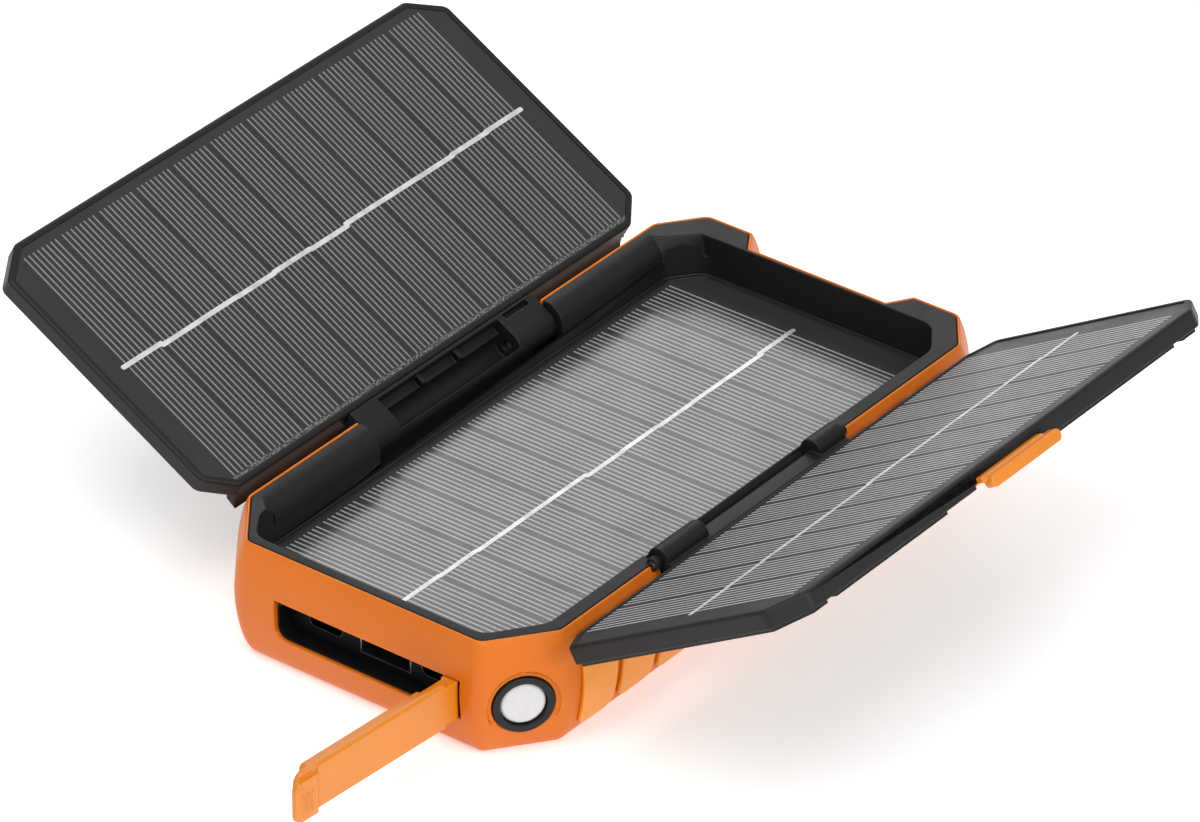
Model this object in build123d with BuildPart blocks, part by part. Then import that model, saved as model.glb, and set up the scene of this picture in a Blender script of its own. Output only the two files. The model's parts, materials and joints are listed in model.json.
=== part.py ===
"""Foldable solar phone charger: a power bank with one solar panel in its tray and two hinged leaves.

Millimetres, +Z up. The origin is the centre of the bottom face. The port end is -Y, the notched end +Y.
The inner leaf is hinged on the left (-X) and folds down into the tray. The outer leaf is hinged on the
right (+X) and folds over it. Both leaves, and the port cover, are drawn open.
"""
import os
from math import cos, radians, sin

from build123d import *

os.makedirs("parts", exist_ok=True)


def save(part, name):
    """Label a finished part and write it as one STEP file."""
    part.label = name
    export_step(part, f"parts/{name}.step")


# ---------------------------------------------------------------- driving dimensions: body
RIM_Z = 27.6                  # height of the tray's black rim, the top of the body
RIM_HALF_WIDTH = 40.0
RIM_HALF_LENGTH = 79.1
FRONT_HALF, FRONT_CHAMFER = 30.0, 13.1     # front edge half width, and its chamfer's length along Y
BACK_HALF, BACK_CHAMFER = 32.9, 9.4
NOTCH_MOUTH, NOTCH_FLOOR, NOTCH_DEPTH = 21.7, 18.2, 5.5
RIM_ROUNDING = 2.4            # radius of the outline's outer corners

# Growth of the shell's outline over the rim's outline, at each height
SHELL_PROFILE = [(0, -1.8), (1.6, 0.2), (5, 1.7), (13.5, 3.0), (21.5, 2.4), (25.8, 1.3), (RIM_Z, 0.55)]
SHELL_WALL = 2.0
SEAT_Z = 25.0                 # underside of the tray's flange, where it sits in the shell
SEAM = 0.1                    # gap between fixed parts that meet in the body

# Tray (the black tub that the leaves fold into)
PANEL_Z = RIM_Z - 9.9         # top of the base panel
TUB_LEFT, TUB_RIGHT = -34.35, 36.6
TUB_FRONT, TUB_BACK = -76.7, 72.8
TUB_ROUNDING = 5.0            # radius of the opening's corners
TUB_WALL = 1.5
TUB_FLOOR = 1.0               # floor thickness under the base panel
LAMINATE = 1.0                # solar laminate thickness
TRAY_BOTTOM = PANEL_Z - LAMINATE - TUB_FLOOR

# ---------------------------------------------------------------- driving dimensions: hinges
INNER_TILT, OUTER_TILT = 29.5, 30.4        # how far each leaf is lifted above flat, in degrees
INNER_AXIS = (-39.76, RIM_Z - 5.1)         # hinge axes, as X and Z; both run along Y
OUTER_AXIS = (40.4, RIM_Z + 0.1)
INNER_SPAN = (-30.6, 30.0)                 # where each hinge bracket starts and ends along Y
OUTER_SPAN = (-34.4, 25.8)
INNER_WINDOW = (-22.2, 17.8)               # window between the inner bracket's knuckles
OUTER_GAP = (-20.9, 17.1)                  # gap between the outer bracket's knuckles
INNER_BARREL, OUTER_BARREL = 3.9, 2.75     # knuckle radii
INNER_PIN, OUTER_PIN = 1.2, 0.8            # pin radii
OUTER_LUG, OUTER_LUG_LENGTH = 1.5, 2.2     # radius and length of the lugs that hold the outer pins
PIN_FIT = 0.05                             # running clearance round a pin
END_GAP = 0.35                             # room at each end of a bracket

# Each leaf is drawn on its own plane through its hinge axis: X outwards along the leaf, Z out of the
# panel's face. The inner leaf's plane runs backwards along Y, the outer leaf's forwards.
INNER_PLANE = Plane(
    origin=(INNER_AXIS[0], 0, INNER_AXIS[1]),
    x_dir=(-cos(radians(INNER_TILT)), 0, sin(radians(INNER_TILT))),
    z_dir=(sin(radians(INNER_TILT)), 0, cos(radians(INNER_TILT))),
)
OUTER_PLANE = Plane(
    origin=(OUTER_AXIS[0], 0, OUTER_AXIS[1]),
    x_dir=(cos(radians(OUTER_TILT)), 0, sin(radians(OUTER_TILT))),
    z_dir=(-sin(radians(OUTER_TILT)), 0, cos(radians(OUTER_TILT))),
)
INNER_FACE, OUTER_FACE = 3.9, -1.48        # the panel face's height over the hinge axis
INNER_START, OUTER_START = 5.76, 3.14      # the hinge edge's distance from the axis
INNER_WIDTH, OUTER_WIDTH = 70.0, 65.5
LEAF_THICKNESS = 4.0
OUTER_END = OUTER_START + OUTER_WIDTH      # the outer leaf's free edge

# ---------------------------------------------------------------- driving dimensions: ports and light
FRONT_Y = -RIM_HALF_LENGTH - 3.0           # the shell's front face at its widest
BAY_LEFT, BAY_RIGHT = -21.1, 23.6
BAY_BOTTOM, BAY_TOP = RIM_Z - 18.8, RIM_Z - 9.6
PORT_FACE_Y = FRONT_Y + 5.7                # back of the bay, where the sockets show
PORT_Z = 12.8
USB_A_X, PORT_LEFT_X, PORT_RIGHT_X = 3.5, -12.0, 17.2
BOARD_TOP = PORT_Z - 2.8                   # the sockets stand on the circuit board
BOARD_THICKNESS = 1.2

COVER_AXIS = (23.25, FRONT_Y + 1.5)        # port cover's hinge pin, as X and Y
COVER_OPEN = 86                            # how far the cover is swung open, in degrees
COVER_Z = (BAY_BOTTOM + BAY_TOP) / 2
COVER_SLOT_RIGHT = 26.8                    # the bay's opening reaches this far, round the cover's hinge
KNUCKLE_RADIUS, KNUCKLE_HEIGHT = 1.3, 8.8
COVER_PIN, COVER_PIN_LENGTH = 0.6, KNUCKLE_HEIGHT + 1.6
LINING_WALL = 0.35                         # the black lining of the bay

LIGHT_Z = 12.6                             # flashlight and power button, at the middle of their chamfers
CHAMFER_MIDDLE = (37.4, -74.4)
# The chamfers lean out by this direction; the flashlight is on the right one, the button on the left
CHAMFER_OUT = (0.795, -0.607)
LIGHT_PLANE = Plane(origin=(*CHAMFER_MIDDLE, LIGHT_Z), z_dir=(*CHAMFER_OUT, 0), x_dir=(0.607, 0.795, 0))
BUTTON_PLANE = Plane(
    origin=(-CHAMFER_MIDDLE[0], CHAMFER_MIDDLE[1], LIGHT_Z),
    z_dir=(-CHAMFER_OUT[0], CHAMFER_OUT[1], 0),
    x_dir=(0.607, -0.795, 0),
)
BUTTON_RADIUS, BUTTON_TRAVEL = 4.0, 0.8

SCREW_PLACES = [(x, y) for y in (-56, 4, 62) for x in (-31.5, 31.5)]
BOTTOM_SIZE = (72, 136)
BOTTOM_CENTRE_Y = 1.0
BOTTOM_THICKNESS = 1.6


# ---------------------------------------------------------------- shared outlines
def rim_outline(grow=0.0):
    """The body's outline seen from above, with chamfered corners and the notch at the back."""
    left_half = [
        (-FRONT_HALF, -RIM_HALF_LENGTH),
        (-RIM_HALF_WIDTH, -RIM_HALF_LENGTH + FRONT_CHAMFER),
        (-RIM_HALF_WIDTH, RIM_HALF_LENGTH - BACK_CHAMFER),
        (-BACK_HALF, RIM_HALF_LENGTH),
        (-NOTCH_MOUTH, RIM_HALF_LENGTH),
        (-NOTCH_FLOOR, RIM_HALF_LENGTH - NOTCH_DEPTH),
    ]
    right_half = [(-x, y) for x, y in reversed(left_half)]
    Polygon(*left_half, *right_half, align=None)
    fillet([corner for corner in vertices() if abs(corner.X) > NOTCH_MOUTH + 1], RIM_ROUNDING)
    if grow:
        offset(amount=grow, kind=Kind.INTERSECTION, mode=Mode.REPLACE)


def tub_outline(grow=0.0):
    """The tray's opening, which clears the folded inner leaf."""
    Polygon(
        (TUB_LEFT, -69.8), (-29.8, TUB_FRONT), (28.6, TUB_FRONT), (TUB_RIGHT, -65.5),
        (TUB_RIGHT, 64.6), (30.9, TUB_BACK), (-28.9, TUB_BACK), (TUB_LEFT, 65.9),
        align=None,
    )
    fillet(vertices(), TUB_ROUNDING)
    if grow:
        offset(amount=grow, kind=Kind.INTERSECTION, mode=Mode.REPLACE)


def box_between(low, high, mode=Mode.ADD):
    """A box from its lowest to its highest corner."""
    centre = tuple((a + b) / 2 for a, b in zip(low, high))
    size = [b - a for a, b in zip(low, high)]
    with Locations(centre):
        Box(*size, mode=mode)


def rod_along_y(x, z, radius, start, end, mode=Mode.ADD):
    """A round rod, or a bore, that runs along Y."""
    with Locations(Location((x, (start + end) / 2, z), (90, 0, 0))):
        Cylinder(radius, end - start, mode=mode)


def cut_hinge_room(span, low_x, high_x, low_z):
    """Cut a bracket's whole length out of the body, from low_z up."""
    box_between((low_x, span[0] - END_GAP, low_z), (high_x, span[1] + END_GAP, ABOVE_BODY), Mode.SUBTRACT)


def growth_at(height):
    """How far the shell stands out of the rim's outline at a height."""
    for (low, low_grow), (high, high_grow) in zip(SHELL_PROFILE, SHELL_PROFILE[1:]):
        if height <= high:
            return low_grow + (high_grow - low_grow) * (height - low) / (high - low)
    return SHELL_PROFILE[-1][1]


def shell_block(extra=0.0, low=0.0, high=RIM_Z):
    """The body's bulging outer form between two heights, grown by extra."""
    levels = [(height, grow) for height, grow in SHELL_PROFILE if low < height < high]
    levels = [(low, growth_at(low)), *levels, (high, growth_at(high))]
    with BuildPart(mode=Mode.PRIVATE) as block:
        for height, grow in levels:
            with BuildSketch(Plane.XY.offset(height)):
                rim_outline(grow + extra)
        loft()
    return block.part


# ---------------------------------------------------------------- body: orange shell
shell_form = shell_block()
shell_inside = shell_block(-SHELL_WALL, low=SHELL_WALL, high=SEAT_Z)
ABOVE_BODY = 40.0                          # a height well over everything on the body

with BuildPart() as shell:
    add(shell_form)
    add(shell_inside, mode=Mode.SUBTRACT)
    # Seat for the tray's flange
    with BuildSketch(Plane.XY.offset(SEAT_Z)):
        rim_outline()
    extrude(amount=RIM_Z - SEAT_Z + 1, mode=Mode.SUBTRACT)
    # Room for the tub where it comes near the notch
    with BuildSketch(Plane.XY.offset(TRAY_BOTTOM - SEAM)):
        tub_outline(TUB_WALL + SEAM)
    extrude(amount=SEAT_Z - TRAY_BOTTOM + SEAM, mode=Mode.SUBTRACT)
    # Opening for the bottom cover
    with BuildSketch(Plane.XY):
        with Locations((0, BOTTOM_CENTRE_Y)):
            RectangleRounded(*BOTTOM_SIZE, 8)
    extrude(amount=SHELL_WALL + 1, mode=Mode.SUBTRACT)
    # Cut-outs for the two hinges, and pockets for the lugs that hold the inner leaf's pins
    cut_hinge_room(INNER_SPAN, -50, -34, RIM_Z - 9.6)
    cut_hinge_room(OUTER_SPAN, 36.6, 50, RIM_Z - 6.5)
    box_between((-41.5, INNER_SPAN[0] - 10, 19.4), (-36, INNER_SPAN[1] + 10, SEAT_Z + 0.2), Mode.SUBTRACT)
    pocket = OUTER_LUG_LENGTH + END_GAP
    for start, end in ((OUTER_SPAN[0] - pocket, OUTER_SPAN[0]), (OUTER_SPAN[1], OUTER_SPAN[1] + pocket)):
        rod_along_y(*OUTER_AXIS, OUTER_LUG + SEAM, start, end, Mode.SUBTRACT)
    # Port bay in the front face, with a rounded lower left corner
    with BuildSketch(Plane.XZ.offset(-FRONT_Y - 4)) as bay_opening:
        with Locations(((BAY_LEFT + COVER_SLOT_RIGHT) / 2, COVER_Z)):
            Rectangle(COVER_SLOT_RIGHT - BAY_LEFT, BAY_TOP - BAY_BOTTOM)
        fillet(bay_opening.vertices().sort_by(Axis.X)[:2].sort_by(Axis.Y)[0], 2.8)
    extrude(amount=8, mode=Mode.SUBTRACT)
    with Locations((*COVER_AXIS, COVER_Z)):
        Cylinder(COVER_PIN, COVER_PIN_LENGTH, mode=Mode.SUBTRACT)
    # Flashlight and button openings in the front chamfers
    with BuildSketch(LIGHT_PLANE.offset(-4)):
        Circle(6.6)
    extrude(amount=8, mode=Mode.SUBTRACT)
    with BuildSketch(LIGHT_PLANE.offset(-0.6)):
        Circle(7.6)
    extrude(amount=4, mode=Mode.SUBTRACT)
    with BuildSketch(BUTTON_PLANE.offset(-4)):
        Circle(BUTTON_RADIUS + 0.35)
        with Locations((0, 6.2)):
            with GridLocations(2.6, 0, 4, 1):
                Circle(0.75)
    extrude(amount=8, mode=Mode.SUBTRACT)
save(shell.part, "orange_shell")


# ---------------------------------------------------------------- body: raised grip pads on both sides
PAD_PITCH, PAD_GAP, PAD_RISE = 12.8, 1.9, 1.0
PAD_COUNT = 10
PAD_LOW, PAD_HIGH = 3.4, 25.2

pad_form = shell_block(PAD_RISE)

for side, hinge_span, hinge_drop in ((1, OUTER_SPAN, 6.5), (-1, INNER_SPAN, 9.6)):
    with BuildPart() as pads:
        with GridLocations(0, PAD_PITCH, 1, PAD_COUNT):
            with Locations((side * 42, 0, (PAD_LOW + PAD_HIGH) / 2)):
                Box(8, PAD_PITCH - PAD_GAP, PAD_HIGH - PAD_LOW)
        # Bevel each pad's lower corners
        fillet(pads.edges().filter_by(Axis.X).group_by(Axis.Z)[0], 2.5)
        fillet(pads.edges().filter_by(Axis.X).group_by(Axis.Z)[-1], 1.2)
        add(pad_form, mode=Mode.INTERSECT)
        add(shell_form, mode=Mode.SUBTRACT)
        # Keep the pads below the hinge cut-out
        low_x, high_x = sorted((side * 36, side * 50))
        box_between(
            (low_x, hinge_span[0] - 1, RIM_Z - hinge_drop - 0.6),
            (high_x, hinge_span[1] + 1, ABOVE_BODY),
            Mode.SUBTRACT,
        )
    save(pads.part, "right_grip_pads" if side > 0 else "left_grip_pads")


# ---------------------------------------------------------------- body: bottom cover and its screws
HEAD_RADIUS, HEAD_RECESS, HEAD_START = 2.0, 1.0, 0.35
THREAD_RADIUS, SCREW_LENGTH = 0.95, 7.0
CROSS_LENGTH, CROSS_WIDTH, CROSS_DEPTH = 2.2, 0.45, 0.4
UPWARDS = (Align.CENTER, Align.CENTER, Align.MIN)

with BuildPart() as bottom_cover:
    with BuildSketch(Plane.XY):
        with Locations((0, BOTTOM_CENTRE_Y)):
            RectangleRounded(BOTTOM_SIZE[0] - 2 * SEAM, BOTTOM_SIZE[1] - 2 * SEAM, 8)
    extrude(amount=BOTTOM_THICKNESS)
    # Shallow grip grooves across the middle
    with Locations((0, BOTTOM_CENTRE_Y, 0)):
        with GridLocations(0, 9, 1, 6):
            Box(44, 2, 0.8, mode=Mode.SUBTRACT)
    with Locations(*[(x, y, 0) for x, y in SCREW_PLACES]):
        Cylinder(HEAD_RADIUS + 0.2, 2 * HEAD_RECESS, mode=Mode.SUBTRACT)
        Cylinder(THREAD_RADIUS + 0.15, 6, mode=Mode.SUBTRACT)
save(bottom_cover.part, "bottom_cover")

with BuildPart() as screws:
    with Locations(*[(x, y, HEAD_START) for x, y in SCREW_PLACES]):
        Cylinder(HEAD_RADIUS, HEAD_RECESS - HEAD_START, align=UPWARDS)
        Cylinder(THREAD_RADIUS, SCREW_LENGTH, align=UPWARDS)
        # Cross recess in each head
        Box(CROSS_LENGTH, CROSS_WIDTH, 2 * CROSS_DEPTH, mode=Mode.SUBTRACT)
        Box(CROSS_WIDTH, CROSS_LENGTH, 2 * CROSS_DEPTH, mode=Mode.SUBTRACT)
save(screws.part, "bottom_screws")


# ---------------------------------------------------------------- body: tray
inner_x, inner_z = INNER_AXIS
outer_x, outer_z = OUTER_AXIS
SHOULDER_RADIUS = TUB_LEFT - inner_x       # the left wall's top is round the inner leaf's axis

with BuildPart() as tray:
    # Flange, tub walls and floor
    with BuildSketch(Plane.XY.offset(SEAT_Z)):
        rim_outline(-SEAM)
    extrude(amount=RIM_Z - SEAT_Z)
    with BuildSketch(Plane.XY.offset(TRAY_BOTTOM)):
        tub_outline(TUB_WALL)
    extrude(amount=SEAT_Z - TRAY_BOTTOM)
    # Lugs for the inner leaf's pins, and shelves that close the body below the hinges
    for start, end in (
        (INNER_SPAN[0] - 10, INNER_SPAN[0] - END_GAP),
        (INNER_SPAN[1] + END_GAP, INNER_SPAN[1] + 10),
    ):
        box_between((-41.4, start, 19.5), (-35, end, SEAT_Z))
    box_between((-40.6, INNER_SPAN[0] - 3, 16.6), (-34, INNER_SPAN[1] + 3, RIM_Z - 9.6))
    box_between((36.6, OUTER_SPAN[0] - 2, 19.6), (39.3, OUTER_SPAN[1] + 2, SEAT_Z))
    box_between((39, OUTER_SPAN[0] - 2, 19.6), (40.3, OUTER_SPAN[1] + 2, RIM_Z - 6.5))
    # The opening, down to the ledge round the panel, and the panel's recess
    with BuildSketch(Plane.XY.offset(PANEL_Z + 0.25)):
        tub_outline()
    extrude(amount=20, mode=Mode.SUBTRACT)
    with BuildSketch(Plane.XY.offset(PANEL_Z - LAMINATE)):
        tub_outline(-1.0)
    extrude(amount=5, mode=Mode.SUBTRACT)
    # Rounded shoulder along the left wall: a quarter turn of the leaf's hinge edge, with room round it
    with BuildSketch(Plane(origin=(inner_x, 0, inner_z), x_dir=(1, 0, 0), z_dir=(0, 0, 1))):
        edge = [(SHOULDER_RADIUS, 65.2), (SHOULDER_RADIUS + 5.7, 72.7), (14, 72.7)]
        Polygon(*edge, *[(x, -y) for x, y in reversed(edge)], align=None)
    revolve(axis=Axis((inner_x, 0, inner_z), (0, -1, 0)), revolution_arc=90, mode=Mode.SUBTRACT)
    # Room for the brackets
    cut_hinge_room(INNER_SPAN, -50, TUB_LEFT + 1, RIM_Z - 9.6)
    cut_hinge_room(OUTER_SPAN, 37.3, 50, RIM_Z - 3.3)
    cut_hinge_room(OUTER_SPAN, 39.3, 50, RIM_Z - 6.4)
    cut_hinge_room(OUTER_SPAN, TUB_RIGHT, 50, RIM_Z - 0.4)
    # Lugs for the outer leaf's pins
    for start, end in (
        (OUTER_SPAN[0] - OUTER_LUG_LENGTH, OUTER_SPAN[0] - END_GAP),
        (OUTER_SPAN[1] + END_GAP, OUTER_SPAN[1] + OUTER_LUG_LENGTH),
    ):
        rod_along_y(outer_x, outer_z, OUTER_LUG, start, end)
        box_between((37, start, SEAT_Z), (RIM_HALF_WIDTH - SEAM, end, RIM_Z))
    # Pin holes
    rod_along_y(inner_x, inner_z, INNER_PIN, -39, 38, Mode.SUBTRACT)
    lug_ends = (OUTER_SPAN[0] - OUTER_LUG_LENGTH, OUTER_SPAN[1] + OUTER_LUG_LENGTH)
    rod_along_y(outer_x, outer_z, OUTER_PIN, *lug_ends, Mode.SUBTRACT)
    # Posts that the bottom screws run into
    post_start = BOTTOM_THICKNESS + SEAM
    with Locations(*[(x, y, post_start) for x, y in SCREW_PLACES]):
        Cylinder(2.6, TRAY_BOTTOM - post_start + 0.1, align=UPWARDS)
        Cylinder(THREAD_RADIUS, SCREW_LENGTH, align=UPWARDS, mode=Mode.SUBTRACT)
save(tray.part, "tray")


# ---------------------------------------------------------------- solar panels
FINGER_GROUPS = 11                         # groups of printed cell lines along each panel
BUSBAR_WIDTH, BUSBAR_RISE = 1.1, 0.08
# Each group's busbar sits a little off the middle, as laid by hand
BUSBAR_JOGS = (0.55, 0.35, 0.1, 0.15, 0.2, -0.35, -0.15, -0.35, -0.25, -0.3, 0.2)


def busbar(middle, length, jog_sign=1):
    """A printed silver strip along the panel, stepped a little at each group of cell lines."""
    pitch = length / FINGER_GROUPS
    for index, jog in enumerate(BUSBAR_JOGS):
        y = (index + 0.5) * pitch - length / 2
        with Locations((middle + jog_sign * jog, y)):
            SlotOverall(pitch + BUSBAR_WIDTH, BUSBAR_WIDTH, rotation=90)


with BuildPart() as base_laminate:
    with BuildSketch(Plane.XY.offset(PANEL_Z - LAMINATE)):
        tub_outline(-1.0 - SEAM / 2)
    extrude(amount=LAMINATE)
save(base_laminate.part, "base_panel")

with BuildPart() as base_busbar:
    with BuildSketch(Plane.XY.offset(PANEL_Z)):
        busbar(0, 132, -1)
    extrude(amount=BUSBAR_RISE)
save(base_busbar.part, "base_panel_busbar")


# ---------------------------------------------------------------- leaves
LIP = 1.6                                  # width of the frame's lip round the panel
RECESS = 0.3                               # the panel lies this far below the lip
COVER_RISE = 0.9                           # height of the raised pattern on a leaf's back
RIB_WIDTH = 2.2


def leaf_outline(start, width, half_length, hinge_chamfer, free_chamfer, grow=0.0):
    """A leaf seen on its face; each chamfer is its size across and along the leaf."""
    end = start + width
    side = [
        (start, half_length - hinge_chamfer[1]),
        (start + hinge_chamfer[0], half_length),
        (end - free_chamfer[0], half_length),
        (end, half_length - free_chamfer[1]),
    ]
    Polygon(*side, *[(x, -y) for x, y in reversed(side)], align=None)
    if grow:
        offset(amount=grow, kind=Kind.INTERSECTION, mode=Mode.REPLACE)


INNER_OUTLINE = (INNER_START, INNER_WIDTH, 72.2, (5.6, 6.8), (6.0, 8.4))
OUTER_OUTLINE = (OUTER_START, OUTER_WIDTH, 73.3, (4.0, 7.0), (6.0, 7.6))

RAIL_HALF_LENGTH, RAIL_WIDTH = 64.8, 3.4   # the rail under the inner leaf's hinge edge
RAIL_ARC = 39.5                            # how far it curls under, in degrees

# Clip at the outer leaf's free edge, in its plane: where its parts lie along Y
CLIP_PLATE = (-11.2, 9.7)
CLIP_LEVER = (-10.5, 13.0)
CLIP_MIDDLE, CLIP_WIDTH = sum(CLIP_PLATE) / 2, CLIP_PLATE[1] - CLIP_PLATE[0]
CLIP_RECESS = 2.9                          # how far its recess goes into the frame
DOWNWARDS = (Align.CENTER, Align.CENTER, Align.MAX)
CLIP_PIN = (OUTER_END - 1.2, OUTER_FACE - 2.6, 0.6)    # the pin's place and radius
CLIP_TOP = OUTER_FACE - 1.95               # top of the clip's plate

for name, plane, face, outline in (
    ("inner", INNER_PLANE, INNER_FACE, INNER_OUTLINE),
    ("outer", OUTER_PLANE, OUTER_FACE, OUTER_OUTLINE),
):
    start, width, half_length = outline[:3]
    with BuildPart() as frame:
        with BuildSketch(plane.offset(face - LEAF_THICKNESS)):
            leaf_outline(*outline)
        extrude(amount=LEAF_THICKNESS)
        # Soften the outline's corners and the lip's outer edge
        corners = frame.edges().filter_by(lambda edge: abs(edge.length - LEAF_THICKNESS) < 0.01)
        fillet(corners, 2.5)
        lip_edges = frame.faces().sort_by(Axis(plane.origin, plane.z_dir))[-1].edges()
        chamfer(lip_edges, 0.5)
        with BuildSketch(plane.offset(face - RECESS - LAMINATE)):
            leaf_outline(*outline, grow=-LIP)
        extrude(amount=5, mode=Mode.SUBTRACT)
        if name == "inner":
            # Rounded rail under the hinge edge, which closes the gap to the shell's side
            rail_start = (inner_x, -RAIL_HALF_LENGTH, inner_z)
            with BuildSketch(Plane(origin=rail_start, x_dir=plane.x_dir, z_dir=(0, 1, 0))):
                with BuildLine():
                    rail_arc = CenterArc((0, 0), INNER_START, 0, -RAIL_ARC)
                    rail_back = (INNER_START + 1.6, -3.1)
                    Polyline(rail_arc @ 1, rail_back, (INNER_START + RAIL_WIDTH, 0), rail_arc @ 0)
                make_face()
            extrude(amount=2 * RAIL_HALF_LENGTH)
        if name == "outer":
            # Recess for the clip in the free edge, and its pin hole
            with Locations(plane * Location((OUTER_END, CLIP_MIDDLE, OUTER_FACE - 0.8))):
                Box(2 * CLIP_RECESS, CLIP_WIDTH + 1.4, 8, align=DOWNWARDS, mode=Mode.SUBTRACT)
            with Locations(plane * Location((CLIP_PIN[0], CLIP_MIDDLE, CLIP_PIN[1]), (90, 0, 0))):
                Cylinder(CLIP_PIN[2], CLIP_WIDTH + 5, mode=Mode.SUBTRACT)
    save(frame.part, f"{name}_leaf_frame")

    with BuildPart() as laminate:
        with BuildSketch(plane.offset(face - RECESS - LAMINATE)):
            leaf_outline(*outline, grow=-LIP - SEAM / 2)
        extrude(amount=LAMINATE)
        if name == "outer":
            # Clear of the clip's recess
            with Locations(plane * Location((OUTER_END, CLIP_MIDDLE, OUTER_FACE - 0.85))):
                Box(2 * CLIP_RECESS + SEAM, CLIP_WIDTH + 1.6, 8, align=DOWNWARDS, mode=Mode.SUBTRACT)
    save(laminate.part, f"{name}_leaf_panel")

    with BuildPart() as leaf_busbar:
        with BuildSketch(plane.offset(face - RECESS)):
            busbar(start + width / 2 - 0.3, 132)
        extrude(amount=BUSBAR_RISE)
    save(leaf_busbar.part, f"{name}_leaf_busbar")

    # Raised pads on the back, with ribs between them
    with BuildPart() as back_cover:
        with BuildSketch(plane.offset(face - LEAF_THICKNESS)):
            leaf_outline(*outline, grow=-1.2)
            with Locations((start + width / 2, 0)):
                Rectangle(width - 16, 2 * half_length - 16, mode=Mode.SUBTRACT)
            # Stop short of the clip, and leave a gap at each end's corner pad
            with Locations((start + width, -4)):
                Rectangle(15, 34, mode=Mode.SUBTRACT)
            with Locations(*[(start + width / 2, side * (half_length - 14)) for side in (-1, 1)]):
                Rectangle(width, 3, mode=Mode.SUBTRACT)
            # Clear of the inner leaf's rail
            if name == "inner":
                with Locations((start, 0)):
                    Rectangle(2 * RAIL_WIDTH + 1, 2 * RAIL_HALF_LENGTH + 1, mode=Mode.SUBTRACT)
            # Long ribs across the middle
            with Locations((start + width / 2, 0)):
                with GridLocations(0, 18, 1, 6):
                    Rectangle(width - 24, RIB_WIDTH)
        extrude(amount=-COVER_RISE)
    save(back_cover.part, f"{name}_leaf_back_ribs")


# ---------------------------------------------------------------- inner leaf's hinge bracket
def on_leaf(plane, x, y, z, rotation=(0, 0, 0)):
    """A place given along the leaf, in the body's Y, and out of the leaf's face."""
    y_sign = 1 if plane.y_dir.Y > 0 else -1
    return plane * Location((x, y_sign * y, z), rotation)


def leaf_box(plane, low, high, mode=Mode.ADD):
    """A box on a leaf's plane, from its lowest to its highest corner; Y is the body's."""
    centre = [(a + b) / 2 for a, b in zip(low, high)]
    size = [b - a for a, b in zip(low, high)]
    with Locations(on_leaf(plane, *centre)):
        Box(*size, mode=mode)


def leaf_rod(plane, radius, start, end, mode=Mode.ADD, x=0.0, z=0.0):
    """A rod or bore along Y, on a leaf's plane."""
    with Locations(on_leaf(plane, x, (start + end) / 2, z, (90, 0, 0))):
        Cylinder(radius, end - start, mode=mode)


HOLLOW = 2.9                               # radius of the hollow inside the inner bracket
with BuildPart() as inner_bracket:
    leaf_rod(INNER_PLANE, INNER_BARREL, *INNER_SPAN)
    leaf_box(INNER_PLANE, (0, INNER_SPAN[0], -0.1), (INNER_START - 0.05, INNER_SPAN[1], INNER_FACE))
    # The window's hollow, open towards the panel's face, with a thin bar left along its lower side
    window_start, window_end = INNER_WINDOW
    leaf_rod(INNER_PLANE, HOLLOW, window_start, window_end, Mode.SUBTRACT)
    leaf_box(INNER_PLANE, (-2.75, window_start, 1.2), (0, window_end, 6), Mode.SUBTRACT)
    leaf_box(INNER_PLANE, (0, window_start, 0.9), (4.9, window_end, 6), Mode.SUBTRACT)
    # Two ribs stand in the hollow
    for y in (-8.2, 4.2):
        leaf_box(INNER_PLANE, (2.6, y - 0.6, 0.4), (5, y + 0.6, 2.6))
    # Slot in the far knuckle
    leaf_box(INNER_PLANE, (3.9, 19.6, 2.2), (5.1, 27.6, 6), Mode.SUBTRACT)
    leaf_rod(INNER_PLANE, INNER_PIN + PIN_FIT, INNER_SPAN[0] - 1, INNER_SPAN[1] + 1, Mode.SUBTRACT)
save(inner_bracket.part, "inner_hinge_bracket")

with BuildPart() as inner_pins:
    rod_along_y(inner_x, inner_z, INNER_PIN, -38.8, window_start - 1.2)
    rod_along_y(inner_x, inner_z, INNER_PIN, window_end + 1.2, 37.8)
save(inner_pins.part, "inner_hinge_pins")


# ---------------------------------------------------------------- outer leaf's hinge bracket
with BuildPart() as outer_bracket:
    # The web between the knuckles and the leaf's hinge edge
    with BuildSketch(Plane(origin=on_leaf(OUTER_PLANE, 0, OUTER_SPAN[0], 0).position,
                           x_dir=OUTER_PLANE.x_dir, z_dir=(0, -1, 0))):
        Polygon(
            (-0.8, -2.6), (-0.8, 0.1), (0.4, 0.1), (OUTER_START - 0.05, OUTER_FACE - 0.1),
            (OUTER_START - 0.05, OUTER_FACE - LEAF_THICKNESS + 0.2),
            (1.0, OUTER_FACE - LEAF_THICKNESS + 0.2),
            align=None,
        )
    extrude(amount=-(OUTER_SPAN[1] - OUTER_SPAN[0]))
    leaf_rod(OUTER_PLANE, OUTER_BARREL, OUTER_SPAN[0], OUTER_GAP[0])
    leaf_rod(OUTER_PLANE, OUTER_BARREL, OUTER_GAP[1], OUTER_SPAN[1])
    for start, end in ((OUTER_SPAN[0] - 1, -30), (21.5, OUTER_SPAN[1] + 1)):
        leaf_rod(OUTER_PLANE, OUTER_PIN + PIN_FIT, start, end, Mode.SUBTRACT)
save(outer_bracket.part, "outer_hinge_bracket")

with BuildPart() as outer_pins:
    rod_along_y(outer_x, outer_z, OUTER_PIN, lug_ends[0] + SEAM, -30.6)
    rod_along_y(outer_x, outer_z, OUTER_PIN, 22.1, lug_ends[1] - SEAM)
save(outer_pins.part, "outer_hinge_pins")


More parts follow.
